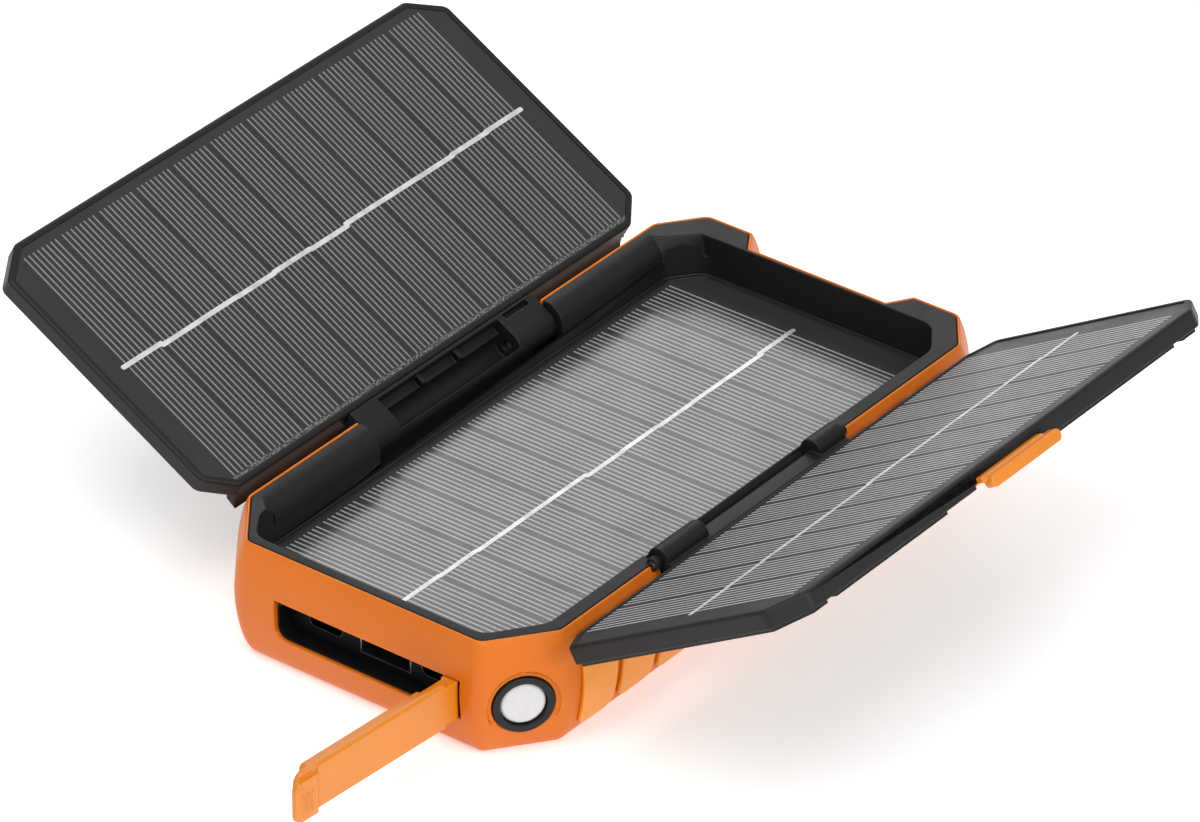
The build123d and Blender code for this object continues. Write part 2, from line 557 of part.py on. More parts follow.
# ---------------------------------------------------------------- latch clip on the outer leaf
pin_x, pin_z, pin_radius = CLIP_PIN
with BuildPart() as clip:
    leaf_box(
        OUTER_PLANE,
        (OUTER_END - 1.9, CLIP_PLATE[0], CLIP_TOP - 1.3),
        (OUTER_END + 1.6, CLIP_PLATE[1], CLIP_TOP),
    )
    leaf_rod(OUTER_PLANE, pin_radius + 0.5, *CLIP_PLATE, x=pin_x, z=pin_z)
    # Rounded lever that the finger lifts
    lever_plane = Plane(origin=(OUTER_END + 0.9, 0, 0), x_dir=(0, 1, 0), z_dir=(1, 0, 0))
    with BuildSketch(OUTER_PLANE * lever_plane):
        with Locations((sum(CLIP_LEVER) / 2, CLIP_TOP - 1.75)):
            SlotOverall(CLIP_LEVER[1] - CLIP_LEVER[0], 2.7)
    extrude(amount=2.4)
    leaf_rod(OUTER_PLANE, pin_radius + PIN_FIT, -20, 20, Mode.SUBTRACT, x=pin_x, z=pin_z)
save(clip.part, "latch_clip")

with BuildPart() as clip_pin:
    leaf_rod(OUTER_PLANE, pin_radius, CLIP_PLATE[0] - 2.2, CLIP_PLATE[1] + 2.2, x=pin_x, z=pin_z)
save(clip_pin.part, "latch_pin")

with BuildPart() as clip_spring:
    spring_x = OUTER_END - CLIP_RECESS
    leaf_box(OUTER_PLANE, (spring_x, -7, OUTER_FACE - 3.6), (spring_x + 0.2, 5, OUTER_FACE - 1.2))
save(clip_spring.part, "latch_spring")


# ---------------------------------------------------------------- port bay, sockets and circuit board
SOCKET_DEPTH = 12.0
LINING_SETBACK = 1.3                       # the lining starts this far behind the shell's widest face
bay_middle = ((BAY_LEFT + BAY_RIGHT) / 2, COVER_Z)
bay_size = (BAY_RIGHT - BAY_LEFT - 2 * SEAM, BAY_TOP - BAY_BOTTOM - 2 * SEAM)
with BuildPart() as bezel:
    box_between(
        (BAY_LEFT - 1.2, PORT_FACE_Y - 0.1, BAY_BOTTOM - 0.6),
        (BAY_RIGHT + 1, PORT_FACE_Y + 1, TRAY_BOTTOM - SEAM),
    )
    # Lining of the opening in the shell
    with BuildSketch(Plane.XZ.offset(-PORT_FACE_Y)):
        with Locations(bay_middle):
            RectangleRounded(*bay_size, 2.7)
            opening = [side - 2 * LINING_WALL for side in bay_size]
            RectangleRounded(*opening, 2.7 - LINING_WALL, mode=Mode.SUBTRACT)
    extrude(amount=PORT_FACE_Y - FRONT_Y - LINING_SETBACK)
    # Socket mouths
    with BuildSketch(Plane.XZ.offset(-PORT_FACE_Y + 1)):
        with Locations((USB_A_X, PORT_Z)):
            Rectangle(13.4, 5.9)
        with Locations((PORT_LEFT_X, PORT_Z), (PORT_RIGHT_X, PORT_Z)):
            SlotOverall(9.2, 3.5)
    extrude(amount=-5, mode=Mode.SUBTRACT)
    # Clear of the port cover's hinge and of the tray
    hinge_back = COVER_AXIS[1] + KNUCKLE_RADIUS + 0.3
    box_between((COVER_AXIS[0] - 2.4, -90, 0), (40, hinge_back, 40), Mode.SUBTRACT)
    box_between((-40, TUB_FRONT - TUB_WALL - SEAM, TRAY_BOTTOM - SEAM), (40, -70, 40), Mode.SUBTRACT)
save(bezel.part, "port_bezel")

USB_A_MOUTH = (12.5, 5.0)                  # the socket's inside width and height
USB_A_SHEET = 0.3                          # its metal's thickness
with BuildPart() as usb_a_shell:
    with Locations((USB_A_X, PORT_FACE_Y, PORT_Z)):
        Box(
            USB_A_MOUTH[0] + 2 * USB_A_SHEET, SOCKET_DEPTH + 1, USB_A_MOUTH[1] + 2 * USB_A_SHEET,
            align=(Align.CENTER, Align.MIN, Align.CENTER),
        )
        Box(
            USB_A_MOUTH[0], SOCKET_DEPTH, USB_A_MOUTH[1],
            align=(Align.CENTER, Align.MIN, Align.CENTER), mode=Mode.SUBTRACT,
        )
save(usb_a_shell.part, "usb_a_socket_shell")

with BuildPart() as usb_a_tongue:
    box_between(
        (USB_A_X - 5.5, PORT_FACE_Y + 1.2, PORT_Z + 0.3),
        (USB_A_X + 5.5, PORT_FACE_Y + SOCKET_DEPTH, PORT_Z + 2.1),
    )
save(usb_a_tongue.part, "usb_a_socket_tongue")

for name, x in (("left", PORT_LEFT_X), ("right", PORT_RIGHT_X)):
    with BuildPart() as usb_c_shell:
        with BuildSketch(Plane.XZ.offset(-PORT_FACE_Y)):
            with Locations((x, PORT_Z)):
                SlotOverall(8.94, 3.26)
        extrude(amount=-7.4)
        with BuildSketch(Plane.XZ.offset(-PORT_FACE_Y)):
            with Locations((x, PORT_Z)):
                SlotOverall(8.34, 2.66)
        extrude(amount=-6.6, mode=Mode.SUBTRACT)
    save(usb_c_shell.part, f"usb_c_socket_{name}_shell")

    with BuildPart() as usb_c_tongue:
        box_between(
            (x - 3.35, PORT_FACE_Y + 0.8, PORT_Z - 0.35),
            (x + 3.35, PORT_FACE_Y + 6.6, PORT_Z + 0.35),
        )
    save(usb_c_tongue.part, f"usb_c_socket_{name}_tongue")

with BuildPart() as board:
    box_between((-29, PORT_FACE_Y + 1.4, BOARD_TOP - BOARD_THICKNESS), (29, -56, BOARD_TOP))
save(board.part, "circuit_board")

with BuildPart() as board_parts:
    with Locations((-20, -60, BOARD_TOP), (4, -59.6, BOARD_TOP)):
        Box(5, 5, 1.2, align=UPWARDS)
    with Locations((20, -60, BOARD_TOP), (-9, -60, BOARD_TOP)):
        Cylinder(2.8, 3.2, align=UPWARDS)
save(board_parts.part, "board_components")

with BuildPart() as battery:
    with Locations((-14.2, 3, 8.6), (14.2, 3, 8.6)):
        Box(27.6, 116, 10.6)
    fillet(battery.edges().filter_by(Axis.Y), 3)
save(battery.part, "battery_cells")


# ---------------------------------------------------------------- flashlight
with BuildPart() as light_ring:
    with BuildSketch(LIGHT_PLANE.offset(-2.6)):
        Circle(6.45)
        Circle(4.95, mode=Mode.SUBTRACT)
    extrude(amount=2.5)
save(light_ring.part, "flashlight_ring")

with BuildPart() as lens:
    with BuildSketch(LIGHT_PLANE.offset(-2.4)):
        Circle(4.85)
    extrude(amount=1.7)
    # Domed face
    fillet(lens.edges().sort_by(Axis((0, 0, 0), (*CHAMFER_OUT, 0)))[-1], 0.9)
save(lens.part, "flashlight_lens")

with BuildPart() as reflector:
    with BuildSketch(LIGHT_PLANE.offset(-3.9)):
        Circle(2.6)
    with BuildSketch(LIGHT_PLANE.offset(-2.7)):
        Circle(4.8)
    loft()
    with BuildSketch(LIGHT_PLANE.offset(-4.0)):
        Circle(1.9)
    with BuildSketch(LIGHT_PLANE.offset(-2.6)):
        Circle(4.4)
    loft(mode=Mode.SUBTRACT)
save(reflector.part, "flashlight_reflector")

with BuildPart() as led_board:
    with BuildSketch(LIGHT_PLANE.offset(-4.9)):
        Circle(2.4)
    extrude(amount=0.9)
    with BuildSketch(LIGHT_PLANE.offset(-4.0)):
        Rectangle(1.6, 1.6)
    extrude(amount=0.5)
save(led_board.part, "flashlight_led_board")


# ---------------------------------------------------------------- power button and charge lights
with BuildPart() as button:
    with BuildSketch(BUTTON_PLANE.offset(-2.4)):
        Circle(BUTTON_RADIUS)
    extrude(amount=2.2)
    fillet(button.edges().sort_by(Axis((0, 0, 0), (-CHAMFER_OUT[0], CHAMFER_OUT[1], 0)))[-1], 0.7)
save(button.part, "power_button")

with BuildPart() as switch:
    with BuildSketch(BUTTON_PLANE.offset(-5.6)):
        Rectangle(4.6, 4.6)
    extrude(amount=1.4)
    with BuildSketch(BUTTON_PLANE.offset(-4.2)):
        Circle(1.3)
    extrude(amount=0.65)
save(switch.part, "button_switch")

with BuildPart() as charge_lights:
    with BuildSketch(BUTTON_PLANE.offset(-2.4)):
        with Locations((0, 6.2)):
            with GridLocations(2.6, 0, 4, 1):
                Circle(0.7)
    extrude(amount=1.9)
save(charge_lights.part, "charge_light_lenses")


# ---------------------------------------------------------------- port cover, swung open
# Drawn closed, with its hinge at the origin, reaching along -X; its outer face is towards -Y. Its face
# plate lies in front of the shell, and its block reaches into the bay.
PLATE_LENGTH, PLATE_HEIGHT = 47.5, 10.8
PLATE_BACK, PLATE_FRONT = -1.8, -2.8
PLATE_START = 4.6                          # the plate starts this far from the hinge, the strap before it
STRAP_REACH = 2.0                          # the strap's full height reaches this far into the bay
PANEL_RISE, PANEL_INSET = 0.4, 0.35        # raised panel on the plate's face
BLOCK_BACK = 0.55
BLOCK_LENGTH = COVER_AXIS[0] - BAY_LEFT - SEAM - LINING_WALL - 0.4
BLOCK_HEIGHT = BAY_TOP - BAY_BOTTOM - 2 * (SEAM + LINING_WALL + 0.3)
TAB_LENGTH, TAB_HEIGHT, TAB_RISE = 6.4, 9.4, 1.0
TAB_OVERHANG = 1.0                         # the tab reaches this far past the plate's free end
TAB_DROP = 0.9                             # the tab's middle is this far below the plate's
cover_place = Location((*COVER_AXIS, COVER_Z)) * Location((0, 0, 0), (0, 0, COVER_OPEN))


def cover_layer(far, near, back, front, height, rounding=0.0, drop=0.0):
    """A flat layer of the cover between two distances from the hinge, rounded at its free end."""
    with BuildSketch(Plane.XZ.offset(-back)) as layer:
        with Locations((-(far + near) / 2, -drop)):
            Rectangle(far - near, height)
        if rounding:
            fillet(layer.vertices().sort_by(Axis.X)[:2], rounding)
    extrude(layer.sketch, amount=back - front)


with BuildPart() as cover_skin:
    # The strap that runs into the hinge, rounded where it turns into the slot
    cover_layer(PLATE_START, 0, PLATE_BACK, PLATE_FRONT - PANEL_RISE, KNUCKLE_HEIGHT)
    cover_layer(STRAP_REACH, 0, BLOCK_BACK, PLATE_BACK, KNUCKLE_HEIGHT)
    fillet(cover_skin.edges().filter_by(Axis.Z).group_by(Axis.X)[-1].sort_by(Axis.Y)[0], 1.4)
    Cylinder(KNUCKLE_RADIUS, KNUCKLE_HEIGHT)
    # The block in the bay, the face plate, and the raised panel on it
    cover_layer(BLOCK_LENGTH, STRAP_REACH - SEAM, BLOCK_BACK, PLATE_BACK - SEAM, BLOCK_HEIGHT, 2.0)
    cover_layer(PLATE_LENGTH, PLATE_START - SEAM, PLATE_BACK, PLATE_FRONT, PLATE_HEIGHT, 2.6)
    panel_end = PLATE_LENGTH + TAB_OVERHANG - TAB_LENGTH - 0.5
    panel_height = PLATE_HEIGHT - 2 * PANEL_INSET
    cover_layer(panel_end, PLATE_START - SEAM, PLATE_FRONT + SEAM, PLATE_FRONT - PANEL_RISE, panel_height)
    # Fingertip tab with three grip ridges
    tab_end = PLATE_LENGTH + TAB_OVERHANG
    tab_face = PLATE_FRONT - TAB_RISE
    cover_layer(tab_end, tab_end - TAB_LENGTH, PLATE_FRONT + 0.3, tab_face, TAB_HEIGHT, 1.8, TAB_DROP)
    with BuildSketch(Plane.XZ.offset(-tab_face)):
        with Locations((-tab_end + TAB_LENGTH / 2, -TAB_DROP - 0.6)):
            with GridLocations(1.35, 0, 3, 1):
                SlotOverall(TAB_HEIGHT / 2, 0.6, rotation=90)
    extrude(amount=0.3)
    Cylinder(COVER_PIN + PIN_FIT, KNUCKLE_HEIGHT + 2, mode=Mode.SUBTRACT)
save(cover_place * cover_skin.part, "port_cover_skin")

with BuildPart() as cover_plug:
    with Locations((-BLOCK_LENGTH / 2 - 2.6, BLOCK_BACK + SEAM + 0.6, 0)):
        Box(BLOCK_LENGTH - 8.5, 1.2, BLOCK_HEIGHT - 1.2)
    fillet(cover_plug.edges().filter_by(Axis.Y), 1.2)
save(cover_place * cover_plug.part, "port_cover_plug")

with BuildPart() as cover_pin:
    with Locations((*COVER_AXIS, COVER_Z)):
        Cylinder(COVER_PIN, COVER_PIN_LENGTH)
save(cover_pin.part, "port_cover_pin")
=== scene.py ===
"""Looks of the foldable solar charger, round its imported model. Metres, in the model's own frame.

Every node of the model gets a procedural material. The moulded parts are replaced by copies of
themselves with rounded edges, which ride on the same bodies.
"""
import json
from math import cos, radians, sin

import bmesh
import bpy
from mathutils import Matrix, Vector


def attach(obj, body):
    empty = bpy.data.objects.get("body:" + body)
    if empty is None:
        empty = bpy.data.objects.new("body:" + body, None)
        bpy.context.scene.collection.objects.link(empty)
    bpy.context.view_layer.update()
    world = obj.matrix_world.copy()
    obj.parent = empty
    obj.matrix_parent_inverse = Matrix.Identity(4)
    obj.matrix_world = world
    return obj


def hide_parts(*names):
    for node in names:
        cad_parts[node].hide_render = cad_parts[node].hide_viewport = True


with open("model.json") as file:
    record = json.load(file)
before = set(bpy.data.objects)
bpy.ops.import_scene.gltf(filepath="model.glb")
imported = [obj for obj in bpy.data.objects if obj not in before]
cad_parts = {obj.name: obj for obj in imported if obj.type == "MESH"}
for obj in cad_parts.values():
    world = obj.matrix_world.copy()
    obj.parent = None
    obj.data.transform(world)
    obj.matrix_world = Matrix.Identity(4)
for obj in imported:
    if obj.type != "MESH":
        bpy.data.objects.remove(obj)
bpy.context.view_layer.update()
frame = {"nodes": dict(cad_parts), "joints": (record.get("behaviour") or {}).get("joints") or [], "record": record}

MM = 0.001
nodes = frame["nodes"]
joints = {joint["name"]: joint for joint in frame["joints"]}
scene = bpy.context.scene


# ---------------------------------------------------------------- shader helper
# A colour Mix node's sockets, by number: those of its other data types share their names
MIX_FACTOR, MIX_A, MIX_B, MIX_RESULT = 0, 6, 7, 2


def opaque(colour):
    """A colour with full alpha, or the socket that gives it."""
    return colour if isinstance(colour, bpy.types.NodeSocket) else (*colour, 1)


def shade(colour, factor):
    """A colour made darker or lighter."""
    return tuple(channel * factor for channel in colour)


class Shader:
    """One material's node tree, with short ways to add and join nodes."""

    def __init__(self, name, **settings):
        self.material = bpy.data.materials.new(name)
        self.material.use_nodes = True
        self.tree = self.material.node_tree
        self.surface = self.tree.nodes["Principled BSDF"]
        for socket, value in settings.items():
            self.surface.inputs[socket.replace("_", " ")].default_value = value
        self.place = self.node("ShaderNodeTexCoord").outputs["Object"]

    def node(self, kind, inputs=None, **settings):
        """Add a node; inputs maps its sockets to values or to other nodes' outputs."""
        made = self.tree.nodes.new(kind)
        for name, value in settings.items():
            setattr(made, name, value)
        for socket, value in (inputs or {}).items():
            self.join(value, made.inputs[socket])
        return made

    def join(self, value, socket):
        """Link a node's output to a socket, or set the socket to a plain value."""
        if isinstance(value, bpy.types.NodeSocket):
            self.tree.links.new(value, socket)
        else:
            socket.default_value = value

    def math(self, operation, a, b=0.0, c=0.0):
        made = self.node("ShaderNodeMath", operation=operation)
        for index, value in enumerate((a, b, c)):
            self.join(value, made.inputs[index])
        return made.outputs[0]

    def between(self, value, low, high):
        """1 where a value lies between two others, 0 elsewhere."""
        above = self.math("GREATER_THAN", value, low)
        return self.math("MULTIPLY", above, self.math("LESS_THAN", value, high))

    def dot(self, vector, direction):
        made = self.node("ShaderNodeVectorMath", operation="DOT_PRODUCT")
        self.join(vector, made.inputs[0])
        made.inputs[1].default_value = direction
        return made.outputs["Value"]

    def noise(self, scale, detail=2.0, stretch=(1, 1, 1)):
        """Noise from 0 to 1 with this many features per metre."""
        moved = self.node("ShaderNodeVectorMath", operation="MULTIPLY")
        self.join(self.place, moved.inputs[0])
        moved.inputs[1].default_value = stretch
        inputs = {"Vector": moved.outputs[0], "Scale": scale, "Detail": detail}
        return self.node("ShaderNodeTexNoise", inputs).outputs["Fac"]

    def spread(self, value, low, high, low_result=0.0, high_result=1.0):
        """Map a value's range onto another, smoothly and clamped."""
        inputs = {
            "Value": value,
            "From Min": low, "From Max": high,
            "To Min": low_result, "To Max": high_result,
        }
        made = self.node("ShaderNodeMapRange", inputs, interpolation_type="SMOOTHSTEP")
        return made.outputs["Result"]

    def mix(self, factor, a, b):
        """Mix two colours."""
        made = self.node("ShaderNodeMix", data_type="RGBA")
        self.join(factor, made.inputs[MIX_FACTOR])
        self.join(opaque(a), made.inputs[MIX_A])
        self.join(opaque(b), made.inputs[MIX_B])
        return made.outputs[MIX_RESULT]

    def edges(self, radius, reach=0.12):
        """1 on convex and concave edges within radius, 0 on flat stretches."""
        rounded = self.node("ShaderNodeBevel", {"Radius": radius}, samples=4).outputs[0]
        plain = self.node("ShaderNodeNewGeometry").outputs["Normal"]
        likeness = self.node("ShaderNodeVectorMath", operation="DOT_PRODUCT")
        self.join(rounded, likeness.inputs[0])
        self.join(plain, likeness.inputs[1])
        bend = self.math("SUBTRACT", 1.0, likeness.outputs["Value"])
        return self.spread(bend, 0.01, reach)

    def colour(self, value):
        self.join(opaque(value), self.surface.inputs["Base Color"])

    def roughness(self, value):
        self.join(value, self.surface.inputs["Roughness"])

    def bump(self, height, depth, strength=1.0, normal=None):
        """Raise the surface by height (0 to 1) times depth in metres."""
        inputs = {"Height": height, "Distance": depth, "Strength": strength}
        if normal is not None:
            inputs["Normal"] = normal
        made = self.node("ShaderNodeBump", inputs)
        self.join(made.outputs[0], self.surface.inputs["Normal"])
        return made.outputs[0]


# ---------------------------------------------------------------- materials
GRAIN_DEPTH = 0.012 * MM      # depth of the moulds' spark-eroded grain
RUB_AND_HIGHLIGHT_WIDTH = 0.5 * MM          # how far the paler, smoother edge band reaches: handling wear, with a painted highlight in it too
BRUSH_DEPTH = 0.004 * MM      # depth of the brush lines on metal


def moulded(name, base, rubbed_and_highlit_colour, rough, grain=3200, **settings):
    """Moulded plastic or rubber: fine grain, slight mottling, and paler, smoother edges that are partly handling
    wear and partly a painted highlight.
    """
    shader = Shader(name, **settings)
    mottle = shader.noise(55, 4)
    body = shader.mix(shader.spread(mottle, 0.3, 0.7), shade(base, 0.93), base)
    scuffs = shader.spread(shader.noise(420, 5, (1, 0.25, 1)), 0.62, 0.78)
    # Paler colour on convex and concave edges alike: partly handling wear, partly a painted highlight
    rubbed_and_highlit_edges = shader.edges(RUB_AND_HIGHLIGHT_WIDTH)
    patches = shader.spread(shader.noise(130, 3), 0.25, 0.75, 0.35, 1.0)
    rubbed_and_highlit = shader.math("MULTIPLY", rubbed_and_highlit_edges, patches)
    shader.colour(shader.mix(rubbed_and_highlit, body, rubbed_and_highlit_colour))
    dull = shader.spread(mottle, 0.3, 0.7, rough - 0.03, rough + 0.04)
    scuffed = shader.math("MULTIPLY_ADD", scuffs, 0.05, dull)
    shader.roughness(shader.math("MULTIPLY_ADD", rubbed_and_highlit, -0.1, scuffed))
    shader.bump(shader.noise(grain, 3), GRAIN_DEPTH)
    return shader.material


def metal(name, base, rough, brush=(1, 1, 1)):
    """Turned or drawn metal with fine brush lines and slight tarnish."""
    shader = Shader(name, Metallic=1.0)
    tarnish = shader.spread(shader.noise(260, 4), 0.35, 0.75)
    shader.colour(shader.mix(tarnish, base, shade(base, 0.75)))
    lines = shader.noise(5200, 3, brush)
    shader.roughness(shader.math("MULTIPLY_ADD", lines, 0.15, rough))
    shader.bump(lines, BRUSH_DEPTH)
    return shader.material


# Printed lines of a solar panel, in groups along Y, one group to each cell strip
GROUP_COUNT, GROUP_PITCH = 11, 11.94 * MM
LINES_IN_GROUP = 8
LINE_PITCH, LINE_WIDTH = 1.38 * MM, 0.36 * MM
LINE_BLUR = 0.08 * MM         # soft edge of a printed line
LINE_RISE = 0.02 * MM         # how far the print stands out
FIRST_LINE = -64.9 * MM       # where the first group starts along Y
GAP_PLACE = GROUP_PITCH - 0.95 * MM            # middle of the gap between strips, from the group's start
GAP_CORE, GAP_EDGE = 0.18 * MM, 0.3 * MM       # half widths of the gap's dark core and of the whole gap
FILM_RIPPLE = 0.006 * MM      # unevenness of the laminate's film
BACKING_GREY = (0.16, 0.16, 0.16)


def solar(name, origin, along, run, dark, line, gap_shade, film_rough=0.3, coat=0.35, backing=None):
    """Laminated solar cells: groups of fine printed lines across the panel, under a satin film.

    origin is on the panel and along is the direction across it; the lines run between the two distances
    run. dark and line are the cells' and the lines' colours. gap_shade is how dark the gaps between the
    cell strips are, from 0 to 1. backing is a band of grey that shows between two distances across.
    """
    shader = Shader(name, Coat_Weight=coat, Coat_Roughness=0.16)
    from_origin = shader.node("ShaderNodeVectorMath", operation="SUBTRACT")
    shader.join(shader.place, from_origin.inputs[0])
    from_origin.inputs[1].default_value = origin
    across = shader.dot(from_origin.outputs[0], along)
    length = shader.dot(shader.place, (0, 1, 0))

    # Place within a group of lines, then within one line's pitch
    from_first = shader.math("SUBTRACT", length, FIRST_LINE)
    in_group = shader.math("FLOORED_MODULO", from_first, GROUP_PITCH)
    in_pitch = shader.math("FLOORED_MODULO", in_group, LINE_PITCH)
    off_line = shader.math("ABSOLUTE", shader.math("SUBTRACT", in_pitch, LINE_WIDTH / 2))
    on_line = shader.spread(off_line, LINE_WIDTH / 2, LINE_WIDTH / 2 + LINE_BLUR, 1, 0)
    in_lines = shader.math("LESS_THAN", in_group, (LINES_IN_GROUP - 0.5) * LINE_PITCH)
    in_run = shader.between(across, *run)
    in_length = shader.between(from_first, -0.1 * MM, GROUP_COUNT * GROUP_PITCH)
    mask = shader.math("MULTIPLY", on_line, in_lines)
    mask = shader.math("MULTIPLY", mask, shader.math("MULTIPLY", in_run, in_length))

    # Each cell strip differs a little in shade, with crystalline speckle
    strip = shader.math("FLOOR", shader.math("DIVIDE", from_first, GROUP_PITCH))
    white_noise = shader.node("ShaderNodeTexWhiteNoise", {"W": strip}, noise_dimensions="1D")
    cell = shader.mix(white_noise.outputs["Value"], shade(dark, 0.9), shade(dark, 1.1))
    speckle = shader.spread(shader.noise(2600, 2), 0.45, 0.75)
    cell = shader.mix(shader.math("MULTIPLY", speckle, 0.25), cell, shade(dark, 1.9))

    # Dark gaps between the strips, then the lines, whose print is a little uneven
    off_gap = shader.math("ABSOLUTE", shader.math("SUBTRACT", in_group, GAP_PLACE))
    gap = shader.spread(off_gap, GAP_CORE, GAP_EDGE, gap_shade, 0)
    cell = shader.mix(shader.math("MULTIPLY", gap, in_run), cell, shade(dark, 0.3))
    print_cover = shader.spread(shader.noise(900, 2), 0.3, 0.5, 0.82, 1.0)
    surface = shader.mix(shader.math("MULTIPLY", mask, print_cover), cell, line)
    if backing:
        grains = shader.spread(shader.noise(2200, 3), 0.42, 0.6)
        speckled = shader.math("MULTIPLY", shader.between(across, *backing), grains)
        surface = shader.mix(speckled, surface, BACKING_GREY)
    shader.colour(surface)

    # The film: slightly hazy and uneven, raised over the lines
    haze = shader.noise(90, 4)
    shader.roughness(shader.spread(haze, 0.3, 0.7, film_rough, film_rough + 0.08))
    film = shader.bump(shader.noise(700, 3), FILM_RIPPLE, 0.6)
    shader.bump(mask, LINE_RISE, 0.5, film)
    return shader.material


def lens_material():
    """Frosted white plastic that lets a little light into it."""
    shader = Shader(
        "frosted_lens", Roughness=0.22, Coat_Weight=0.6, Coat_Roughness=0.08,
        Subsurface_Weight=0.2, Subsurface_Radius=(1.2 * MM, 1.2 * MM, 1.2 * MM), Subsurface_Scale=1.0,
    )
    clouding = shader.spread(shader.noise(600, 3), 0.3, 0.7)
    shader.colour(shader.mix(clouding, (0.6, 0.6, 0.61), (0.63, 0.63, 0.63)))
    shader.bump(shader.noise(2500, 2), 0.006 * MM)
    return shader.material


def leaf_direction(joint_name, side):
    """(a point on the hinge axis, the direction along the leaf) for a leaf as it is drawn, tilted up.

    The joint's lower limit is the leaf lying flat, so it gives the tilt.
    """
    joint = joints[joint_name]
    tilt = radians(-joint["range_deg"][0])
    return Vector(joint["pos_m"]), Vector((side * cos(tilt), 0, sin(tilt)))


inner_hinge, inner_along = leaf_direction("inner_leaf_hinge", -1)
outer_hinge, outer_along = leaf_direction("outer_leaf_hinge", 1)

materials = {
    "shell": moulded(
        "orange_moulded_plastic", base=(0.66, 0.148, 0.002), rubbed_and_highlit_colour=(0.8, 0.24, 0.01), rough=0.45,
        Specular_IOR_Level=0.35,
    ),
    # The pads' orange is paler than the shell's to stand in for the light on their right-facing sides: painted
    # light
    "grip": moulded(
        "orange_grip_painted_light", base=(0.82, 0.27, 0.012), rubbed_and_highlit_colour=(0.9, 0.4, 0.05), rough=0.34,
        grain=1900, Coat_Weight=0.12, Coat_Roughness=0.3,
    ),
    # The cover's and clip's orange is paler than the shell's to stand in for the light on their right-facing
    # sides: painted light
    "cover": moulded(
        "orange_cover_painted_light", base=(0.68, 0.205, 0.008), rubbed_and_highlit_colour=(0.78, 0.27, 0.02), rough=0.34,
        grain=1900, Coat_Weight=0.12, Coat_Roughness=0.3,
    ),
    "black": moulded(
        "black_moulded_plastic", base=(0.008, 0.008, 0.0082), rubbed_and_highlit_colour=(0.022, 0.022, 0.023), rough=0.5,
        grain=2600, Specular_IOR_Level=0.3,
    ),
    # Black plastic made darker for the parts inside the port bay: painted shade of the recess
    "bay": moulded(
        "black_plastic_painted_bay_shade", base=(0.006, 0.006, 0.006), rubbed_and_highlit_colour=(0.012, 0.012, 0.012), rough=0.55,
        grain=2600, Specular_IOR_Level=0.15,
    ),
    "base_panel": solar(
        "solar_cells_base", origin=(0, 0, 0), along=(1, 0, 0), run=(-32 * MM, 33.2 * MM),
        dark=(0.03, 0.031, 0.033), line=(0.36, 0.36, 0.35), gap_shade=0.12,
    ),
    # The inner leaf's cells and lines are darker than the base panel's, though it is the same laminate: painted
    # shade
    "inner_cells_painted_shade": solar(
        "solar_cells_inner_painted_shade", origin=inner_hinge, along=inner_along, run=(8.5 * MM, 72 * MM),
        dark=(0.011, 0.0115, 0.012), line=(0.2, 0.2, 0.195), gap_shade=0.35,
        film_rough=0.36, backing=(7.5 * MM, 8.4 * MM),
    ),
    # The outer leaf's lines are far paler than the base panel's, though it is the same laminate: painted highlight
    "outer_cells_painted_highlight": solar(
        "solar_cells_outer_painted_highlight", origin=outer_hinge, along=outer_along, run=(5 * MM, 63.8 * MM),
        dark=(0.02, 0.021, 0.023), line=(0.62, 0.62, 0.61), gap_shade=0.7,
        film_rough=0.42, coat=0.0,
    ),
    "silver": metal("printed_silver", (0.9, 0.9, 0.9), 0.5),
    "steel": metal("turned_steel", (0.62, 0.62, 0.63), 0.25, (0.05, 1, 1)),
    "dark_steel": metal("blackened_steel", (0.09, 0.09, 0.095), 0.35),
    # Darker than plated steel is, so the socket deep in the port looks dim: painted shade
    "socket": metal("plated_steel_painted_shade", (0.4, 0.4, 0.41), 0.3, (1, 0.05, 1)),
    "board": moulded("green_solder_mask", base=(0.02, 0.12, 0.05), rubbed_and_highlit_colour=(0.1, 0.2, 0.1), rough=0.35),
    "foil": metal("battery_foil", (0.55, 0.57, 0.6), 0.4),
    "chrome": metal("reflector_plating", (0.92, 0.92, 0.92), 0.06),
    "lens": lens_material(),
}

# Which nodes each material covers; every other node is of the black plastic
NODE_MATERIALS = {
    "shell": ["orange_shell", "bottom_cover"],
    "grip": ["left_grip_pads", "right_grip_pads"],
    "cover": ["port_cover_skin", "port_cover_plug", "latch_clip"],
    "base_panel": ["base_panel"],
    "inner_cells_painted_shade": ["inner_leaf_panel"],
    "outer_cells_painted_highlight": ["outer_leaf_panel"],
    "bay": [
        "port_bezel", "usb_a_socket_tongue", "usb_c_socket_left_tongue", "usb_c_socket_right_tongue",
    ],
    "silver": ["base_panel_busbar", "inner_leaf_busbar", "outer_leaf_busbar"],
    "steel": ["inner_hinge_pins", "outer_hinge_pins", "latch_pin", "latch_spring"],
    "dark_steel": [
        "bottom_screws", "port_cover_pin", "usb_c_socket_left_shell", "usb_c_socket_right_shell",
    ],
    "socket": ["usb_a_socket_shell"],
    "board": ["circuit_board", "flashlight_led_board"],
    "foil": ["battery_cells"],
    "chrome": ["flashlight_reflector"],
    "lens": ["flashlight_lens", "charge_light_lenses"],
}
material_of = {node: key for key, members in NODE_MATERIALS.items() for node in members}
record = frame["record"]
bodies = record["behaviour"]["bodies"]
body_of = {node: body for body, members in bodies.items() for node in members}

for name, node in nodes.items():
    node.data.materials.clear()
    node.data.materials.append(materials[material_of.get(name, "black")])


# ---------------------------------------------------------------- rounded copies of moulded nodes
ROUNDED_FROM = 32             # edges that turn by more than this many degrees are rounded
CREASED_FROM = 35             # and those that still turn by more than this stay creased in shading
FLAT_WITHIN = 0.6             # faces within this many degrees of each other are joined into one
JOIN_WITHIN = 0.002 * MM      # corners this close to each other are one corner


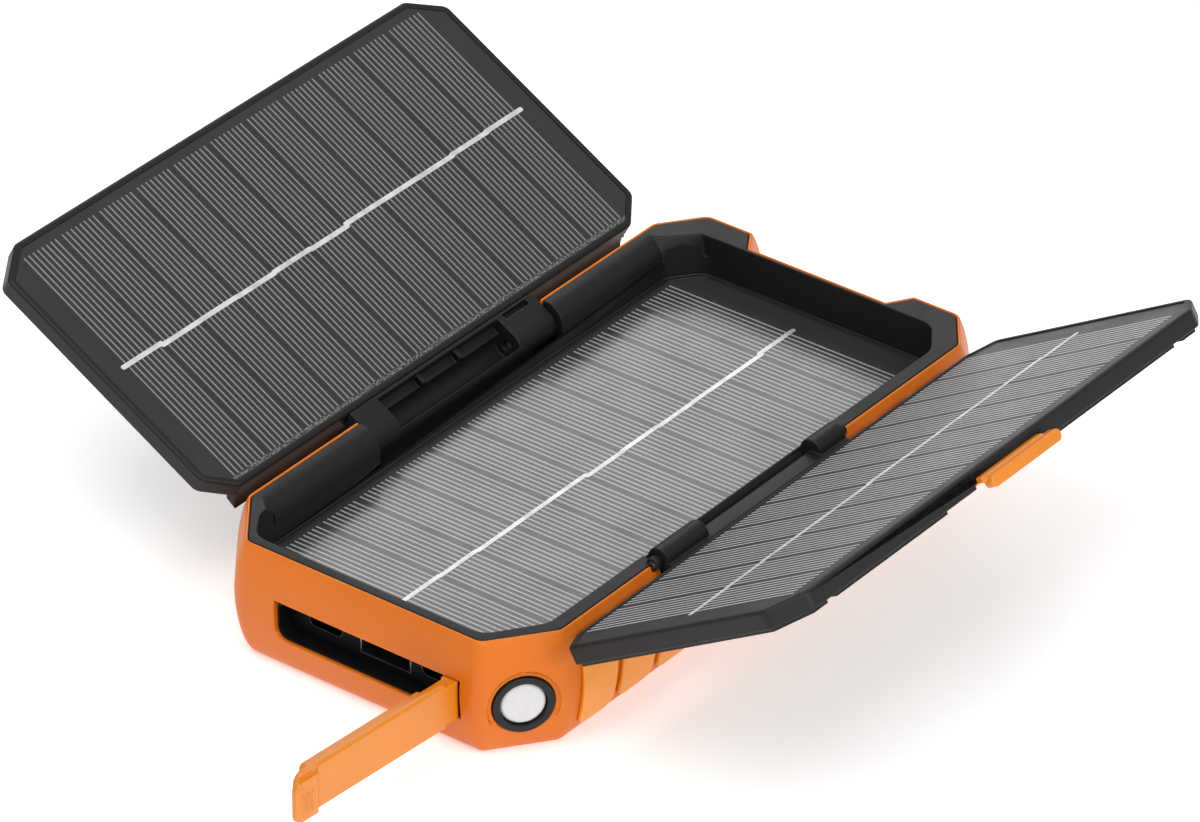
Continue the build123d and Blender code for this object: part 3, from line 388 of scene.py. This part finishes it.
def rounded_copy(name, width):
    """Put a cleaned copy of a moulded node, with its sharp edges rounded, in the node's place."""
    mesh = bpy.data.meshes.new(name + "_moulding")
    work = bmesh.new()
    work.from_mesh(nodes[name].data)
    bmesh.ops.remove_doubles(work, verts=work.verts, dist=JOIN_WITHIN)
    flat = radians(FLAT_WITHIN)
    bmesh.ops.dissolve_limit(work, angle_limit=flat, verts=work.verts, edges=work.edges)
    edges = [
        edge for edge in work.edges
        if len(edge.link_faces) == 2 and edge.calc_face_angle(0) > radians(ROUNDED_FROM)
    ]
    bmesh.ops.bevel(
        work, geom=edges, offset=width, segments=3, profile=0.5, affect="EDGES", clamp_overlap=False,
    )
    many_sided = [face for face in work.faces if len(face.verts) > 4]
    bmesh.ops.triangulate(work, faces=many_sided)
    work.to_mesh(mesh)
    work.free()
    mesh.shade_smooth()
    mesh.set_sharp_from_angle(angle=radians(CREASED_FROM))
    mesh.materials.append(nodes[name].data.materials[0])
    piece = bpy.data.objects.new(name + "_moulding", mesh)
    scene.collection.objects.link(piece)
    smooth = piece.modifiers.new("normals", "WEIGHTED_NORMAL")
    smooth.keep_sharp = True
    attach(piece, body_of[name])
    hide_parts(name)


# Width of the rounding on each moulded node's edges, in mm
ROUNDING = {
    "orange_shell": 0.35,
    "tray": 0.3,
    "inner_leaf_frame": 0.25,
    "outer_leaf_frame": 0.25,
    "left_grip_pads": 0.3,
    "right_grip_pads": 0.3,
    "inner_hinge_bracket": 0.25,
    "outer_hinge_bracket": 0.25,
    "latch_clip": 0.3,
    "port_cover_skin": 0.25,
    "port_cover_plug": 0.25,
    "flashlight_ring": 0.3,
}
for name, width in ROUNDING.items():
    rounded_copy(name, width * MM)


# ---------------------------------------------------------------- floor, light and camera
FLOOR_SIZE = 12
FLOOR_GLOW = 0.4
LIGHT_AIM = Vector((0, 0, 0.03))
WORLD_STRENGTH = 0.5


def make_floor():
    """A pale matt sweep under the object, lit a little from below as a light table is."""
    shader = Shader(
        "studio_floor", Roughness=0.9, Emission_Color=(1, 1, 1, 1), Emission_Strength=FLOOR_GLOW,
    )
    shader.colour(shader.mix(shader.noise(3, 2), (0.9, 0.9, 0.9), (0.93, 0.93, 0.93)))
    bpy.ops.mesh.primitive_plane_add(size=FLOOR_SIZE)
    floor = bpy.context.object
    floor.name = "floor"
    floor.data.materials.append(shader.material)


def softbox(name, place, size, power):
    """A rectangular studio light that faces the object."""
    light = bpy.data.lights.new(name, "AREA")
    light.shape = "RECTANGLE"
    light.size, light.size_y = size
    light.energy = power
    lamp = bpy.data.objects.new(name, light)
    lamp.location = place
    lamp.rotation_euler = (LIGHT_AIM - Vector(place)).to_track_quat("-Z", "Y").to_euler()
    scene.collection.objects.link(lamp)


def make_light():
    """White surroundings with a large light above, one on the right and one behind on the left."""
    world = bpy.data.worlds.new("studio")
    world.use_nodes = True
    background = world.node_tree.nodes["Background"].inputs
    background["Color"].default_value = (1, 1, 1, 1)
    background["Strength"].default_value = WORLD_STRENGTH
    scene.world = world
    softbox("top_light", (0.1, -0.6, 1.6), (1.3, 1.3), 15)
    softbox("right_light", (1.3, -0.25, 0.75), (0.9, 0.8), 9)
    softbox("back_light", (-0.78, 1.0, 0.8), (0.9, 0.5), 3.2)
    scene.view_settings.view_transform = "Standard"


CAMERA_AZIMUTH, CAMERA_ELEVATION = 37.7, 32.29     # degrees, from -Y towards +X and above the floor
CAMERA_DISTANCE = 1.74
CAMERA_AIM = Vector((-0.00147, 0.00053, 0.02968))
CAMERA_LENS, CAMERA_SENSOR = 252.65, 36            # millimetres


def make_camera():
    """The camera, looking down on the port end from the front right."""
    azimuth, elevation = radians(CAMERA_AZIMUTH), radians(CAMERA_ELEVATION)
    back = Vector((sin(azimuth) * cos(elevation), -cos(azimuth) * cos(elevation), sin(elevation)))
    camera = bpy.data.objects.new("camera", bpy.data.cameras.new("camera"))
    camera.data.lens = CAMERA_LENS
    camera.data.sensor_width = CAMERA_SENSOR
    camera.data.clip_start, camera.data.clip_end = 0.1, 20
    camera.location = CAMERA_AIM + back * CAMERA_DISTANCE
    camera.rotation_euler = (-back).to_track_quat("-Z", "Y").to_euler()
    scene.collection.objects.link(camera)
    scene.camera = camera


make_floor()
make_light()
make_camera()
